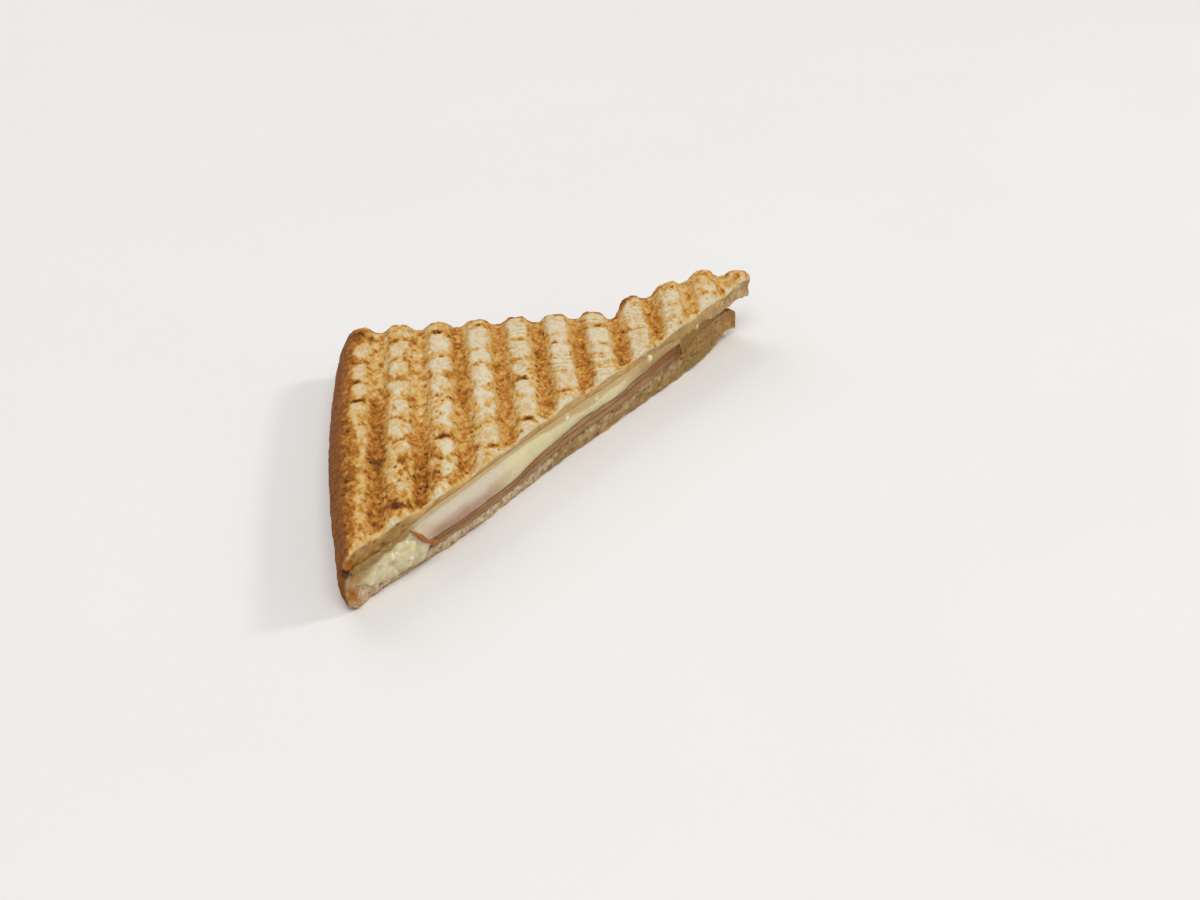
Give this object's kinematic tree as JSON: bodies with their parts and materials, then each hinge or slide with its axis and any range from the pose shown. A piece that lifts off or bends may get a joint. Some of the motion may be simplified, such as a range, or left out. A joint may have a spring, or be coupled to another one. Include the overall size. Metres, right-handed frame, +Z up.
{
  "type": "grilled cheese sandwich",
  "caption": "Half of a pressed ham and cheese toastie, cut from corner to corner, with ribbed toasted bread and melted cheese oozing from the cut.",
  "frame": {"origin": "middle of the bounding box, on the surface that the sandwich rests on", "axes": "+X along the cut, from the front point to the pointed end on the domed side of the loaf; the cut faces -Y and the square corner points to +Y; +Z up through the layers"},
  "size_m": [0.1618, 0.0776, 0.0192],
  "materials": {
    "toast_under": "dry toasted bread, ribbed",
    "ham": "moist cooked ham",
    "cheese": "glossy melted cheese",
    "toast_top": "dry toasted bread with browned ribs"
  },
  "bodies": {
    "root": {"bread_lower": "toast_under", "ham": "ham", "cheese": "cheese", "bread_upper": "toast_top"}
  },
  "joints": []
}
